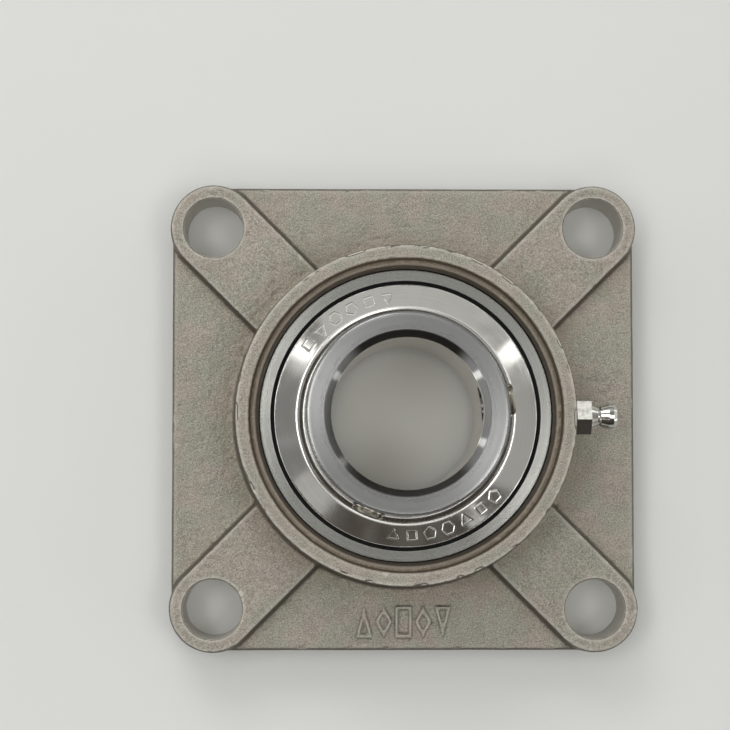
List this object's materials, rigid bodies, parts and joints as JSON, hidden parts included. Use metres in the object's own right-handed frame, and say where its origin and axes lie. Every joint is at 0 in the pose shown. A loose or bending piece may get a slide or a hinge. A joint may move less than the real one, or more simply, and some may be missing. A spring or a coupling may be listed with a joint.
{
  "type": "flange mount bearing",
  "caption": "Square flange bearing unit: cast stainless housing with corner bolt bosses, diagonal ribs and a hub holding a self-aligning ball bearing with set screws and a grease nipple.",
  "frame": {"origin": "centre of the four-bolt mounting face, on the bearing axis", "axes": "+Z out of the mounting face along the shaft, towards the set screws; +X towards the grease nipple"},
  "size_m": [0.1142, 0.1142, 0.0444],
  "materials": {
    "cast_stainless": "bead-blasted casting",
    "ground_steel": "fine ground",
    "polished_steel": "polished",
    "seal_rubber": "matte",
    "pressed_steel": "pressed sheet",
    "ball_steel": "polished",
    "nipple_steel": "bright turned",
    "screw_steel": "bright machined thread"
  },
  "bodies": {
    "housing": {"housing": "cast_stainless", "grease_nipple": "nipple_steel", "nipple_spring": "nipple_steel"},
    "pin_link": {"stop_pin": "ball_steel"},
    "outer_race": {"outer_ring": "ground_steel", "seal_front": "seal_rubber", "seal_rear": "seal_rubber", "seal_plate_front": "pressed_steel", "seal_plate_rear": "pressed_steel"},
    "inner_race": {"inner_ring": "ground_steel", "slinger_front": "polished_steel", "slinger_rear": "polished_steel"},
    "cage": {"cage_front": "pressed_steel", "cage_rear": "pressed_steel", "cage_rivets": "pressed_steel"},
    "screw_a": {"set_screw_1": "screw_steel"},
    "screw_b": {"set_screw_2": "screw_steel"},
    "check_ball": {"nipple_ball": "ball_steel"},
    "ball_1_body": {"ball_1": "ball_steel"},
    "ball_2_body": {"ball_2": "ball_steel"},
    "ball_3_body": {"ball_3": "ball_steel"},
    "ball_4_body": {"ball_4": "ball_steel"},
    "ball_5_body": {"ball_5": "ball_steel"},
    "ball_6_body": {"ball_6": "ball_steel"},
    "ball_7_body": {"ball_7": "ball_steel"},
    "ball_8_body": {"ball_8": "ball_steel"},
    "ball_9_body": {"ball_9": "ball_steel"}
  },
  "joints": [
    {"name": "align_about_y", "type": "hinge", "parent": "housing", "child": "pin_link", "pos_m": [0, 0, 0.019], "axis": [0, 1, 0], "range_deg": [-3, 3]},
    {"name": "align_about_x", "type": "hinge", "parent": "pin_link", "child": "outer_race", "pos_m": [0, 0, 0.019], "axis": [1, 0, 0], "range_deg": [-3, 3]},
    {"name": "shaft_spin", "type": "hinge", "parent": "outer_race", "child": "inner_race", "pos_m": [0, 0, 0.019], "axis": [0, 0, 1], "continuous": true},
    {"name": "cage_spin", "type": "hinge", "parent": "outer_race", "child": "cage", "pos_m": [0, 0, 0.019], "axis": [0, 0, 1], "continuous": true},
    {"name": "set_screw_1_travel", "type": "slide", "parent": "inner_race", "child": "screw_a", "axis": [0.9903, 0.1392, 0], "range_m": [-0.0009, 0.003]},
    {"name": "set_screw_2_travel", "type": "slide", "parent": "inner_race", "child": "screw_b", "axis": [-0.3746, -0.9272, 0], "range_m": [-0.0009, 0.003]},
    {"name": "check_ball_travel", "type": "slide", "parent": "housing", "child": "check_ball", "axis": [-1, 0, 0], "range_m": [0, 0.0008], "stiffness_N_per_m": 200, "springref_m": -0.001, "deforming": ["nipple_spring"]},
    {"name": "ball_1_spin", "type": "hinge", "parent": "cage", "child": "ball_1_body", "pos_m": [0.02675, 0, 0.019], "axis": [0, 0, 1], "continuous": true},
    {"name": "ball_2_spin", "type": "hinge", "parent": "cage", "child": "ball_2_body", "pos_m": [0.02049, 0.01719, 0.019], "axis": [0, 0, 1], "continuous": true},
    {"name": "ball_3_spin", "type": "hinge", "parent": "cage", "child": "ball_3_body", "pos_m": [0.00464, 0.02634, 0.019], "axis": [0, 0, 1], "continuous": true},
    {"name": "ball_4_spin", "type": "hinge", "parent": "cage", "child": "ball_4_body", "pos_m": [-0.01337, 0.02317, 0.019], "axis": [0, 0, 1], "continuous": true},
    {"name": "ball_5_spin", "type": "hinge", "parent": "cage", "child": "ball_5_body", "pos_m": [-0.02514, 0.00915, 0.019], "axis": [0, 0, 1], "continuous": true},
    {"name": "ball_6_spin", "type": "hinge", "parent": "cage", "child": "ball_6_body", "pos_m": [-0.02514, -0.00915, 0.019], "axis": [0, 0, 1], "continuous": true},
    {"name": "ball_7_spin", "type": "hinge", "parent": "cage", "child": "ball_7_body", "pos_m": [-0.01337, -0.02317, 0.019], "axis": [0, 0, 1], "continuous": true},
    {"name": "ball_8_spin", "type": "hinge", "parent": "cage", "child": "ball_8_body", "pos_m": [0.00464, -0.02634, 0.019], "axis": [0, 0, 1], "continuous": true},
    {"name": "ball_9_spin", "type": "hinge", "parent": "cage", "child": "ball_9_body", "pos_m": [0.02049, -0.01719, 0.019], "axis": [0, 0, 1], "continuous": true}
  ],
  "couplings": [
    {"joint": "cage_spin", "follows": "shaft_spin", "ratio": 0.39615},
    {"joint": "ball_1_spin", "follows": "shaft_spin", "ratio": -2.3035},
    {"joint": "ball_2_spin", "follows": "shaft_spin", "ratio": -2.3035},
    {"joint": "ball_3_spin", "follows": "shaft_spin", "ratio": -2.3035},
    {"joint": "ball_4_spin", "follows": "shaft_spin", "ratio": -2.3035},
    {"joint": "ball_5_spin", "follows": "shaft_spin", "ratio": -2.3035},
    {"joint": "ball_6_spin", "follows": "shaft_spin", "ratio": -2.3035},
    {"joint": "ball_7_spin", "follows": "shaft_spin", "ratio": -2.3035},
    {"joint": "ball_8_spin", "follows": "shaft_spin", "ratio": -2.3035},
    {"joint": "ball_9_spin", "follows": "shaft_spin", "ratio": -2.3035}
  ]
}
